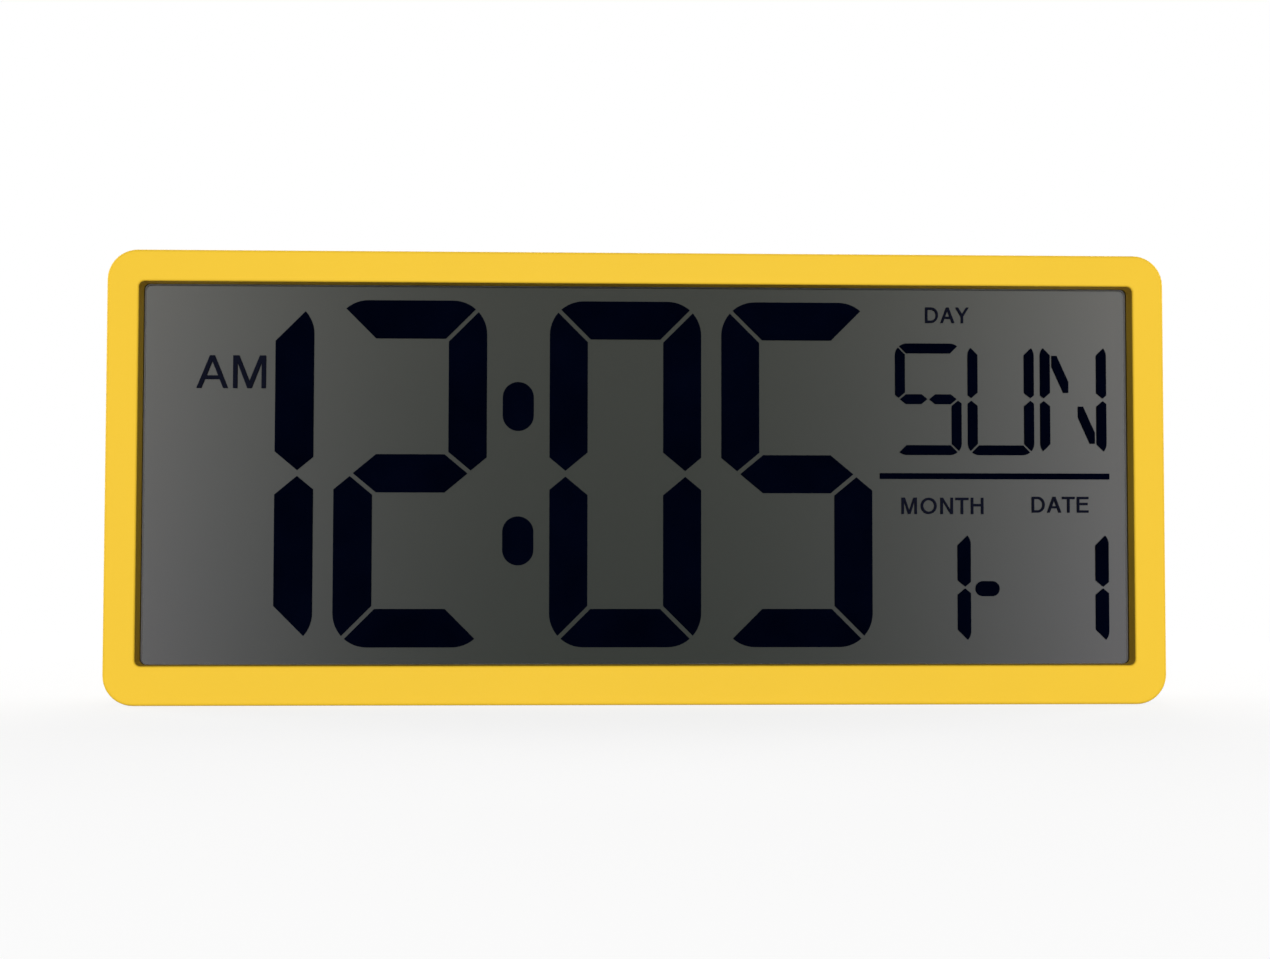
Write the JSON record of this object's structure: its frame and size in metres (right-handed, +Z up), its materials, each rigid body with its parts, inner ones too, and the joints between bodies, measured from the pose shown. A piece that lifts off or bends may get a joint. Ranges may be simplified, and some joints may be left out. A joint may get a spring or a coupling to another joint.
{
  "type": "digital clock",
  "caption": "Wide wall or desk digital clock: deep yellow frame, segment display of time, day and date, rear push buttons, sliding battery door, fold-out stand and keyholes.",
  "frame": {"origin": "on the base, under the middle of the case", "axes": "+X to the right seen from the front, +Y from the display to the back, +Z up"},
  "size_m": [0.37, 0.034, 0.158],
  "materials": {
    "frame_plastic": "satin moulded yellow plastic",
    "cover_plastic": "fine textured yellow plastic",
    "clear_acrylic": "clear with a soft sheen",
    "polarizer_film": "grey tinted film",
    "display_glass": "clear float glass",
    "seal_resin": "dark resin",
    "segment_dark": "near black",
    "reflector_film": "grey reflector",
    "gasket_foam": "black foam",
    "bracket_plastic": "white moulded plastic",
    "screw_steel": "zinc plated",
    "connector_rubber": "striped silicone",
    "board_laminate": "green solder mask",
    "epoxy_black": "glossy epoxy",
    "can_steel": "bright can",
    "capacitor_sleeve": "shrink sleeve",
    "chip_ceramic": "fired film",
    "switch_plastic": "moulded",
    "plunger_plastic": "moulded",
    "button_plastic": "charcoal, fine textured",
    "contact_nickel": "nickel plated",
    "cell_wrap": "printed wrap without words",
    "foot_rubber": "soft rubber"
  },
  "bodies": {
    "case": {"front_bezel": "frame_plastic", "rear_cover": "cover_plastic", "case_screws": "screw_steel", "lens_gasket": "gasket_foam", "display_lens": "clear_acrylic", "lcd_polarizer": "polarizer_film", "lcd_front_glass": "display_glass", "lcd_seal": "seal_resin", "time_segments": "segment_dark", "colon_dots": "segment_dark", "calendar_segments": "segment_dark", "lcd_rear_glass": "display_glass", "lcd_reflector": "reflector_film", "lcd_bracket": "bracket_plastic", "bracket_screws": "screw_steel", "connector_strip_left": "connector_rubber", "connector_strip_right": "connector_rubber", "main_board": "board_laminate", "board_screws": "screw_steel", "controller_blob": "epoxy_black", "quartz_crystal": "can_steel", "filter_capacitor": "capacitor_sleeve", "chip_resistors": "chip_ceramic", "negative_contact": "contact_nickel", "positive_contact": "contact_nickel", "series_link": "contact_nickel", "battery_spring_upper": "contact_nickel", "battery_spring_lower": "contact_nickel", "aa_cell_upper": "cell_wrap", "aa_cell_lower": "cell_wrap", "stand_pin": "screw_steel", "mode_switch": "switch_plastic", "set_switch": "switch_plastic", "plus_switch": "switch_plastic", "minus_switch": "switch_plastic", "format_switch": "switch_plastic"},
    "door": {"battery_door": "cover_plastic"},
    "stand": {"stand_leg": "cover_plastic", "stand_foot": "foot_rubber"},
    "mode_key": {"mode_button": "button_plastic", "mode_plunger": "plunger_plastic"},
    "set_key": {"set_button": "button_plastic", "set_plunger": "plunger_plastic"},
    "plus_key": {"plus_button": "button_plastic", "plus_plunger": "plunger_plastic"},
    "minus_key": {"minus_button": "button_plastic", "minus_plunger": "plunger_plastic"},
    "format_key": {"format_button": "button_plastic", "format_plunger": "plunger_plastic"}
  },
  "joints": [
    {"name": "door_slide", "type": "slide", "parent": "case", "child": "door", "axis": [1, 0, 0], "range_m": [0, 0.056]},
    {"name": "stand_hinge", "type": "hinge", "parent": "case", "child": "stand", "pos_m": [0, 0.0145, 0.104], "axis": [1, 0, 0], "range_deg": [0, 30]},
    {"name": "mode_press", "type": "slide", "parent": "case", "child": "mode_key", "axis": [0, -1, 0], "range_m": [0, 0.0005], "stiffness_N_per_m": 3000},
    {"name": "set_press", "type": "slide", "parent": "case", "child": "set_key", "axis": [0, -1, 0], "range_m": [0, 0.0005], "stiffness_N_per_m": 3000},
    {"name": "plus_press", "type": "slide", "parent": "case", "child": "plus_key", "axis": [0, -1, 0], "range_m": [0, 0.0005], "stiffness_N_per_m": 3000},
    {"name": "minus_press", "type": "slide", "parent": "case", "child": "minus_key", "axis": [0, -1, 0], "range_m": [0, 0.0005], "stiffness_N_per_m": 3000},
    {"name": "format_press", "type": "slide", "parent": "case", "child": "format_key", "axis": [0, -1, 0], "range_m": [0, 0.0005], "stiffness_N_per_m": 3000}
  ]
}
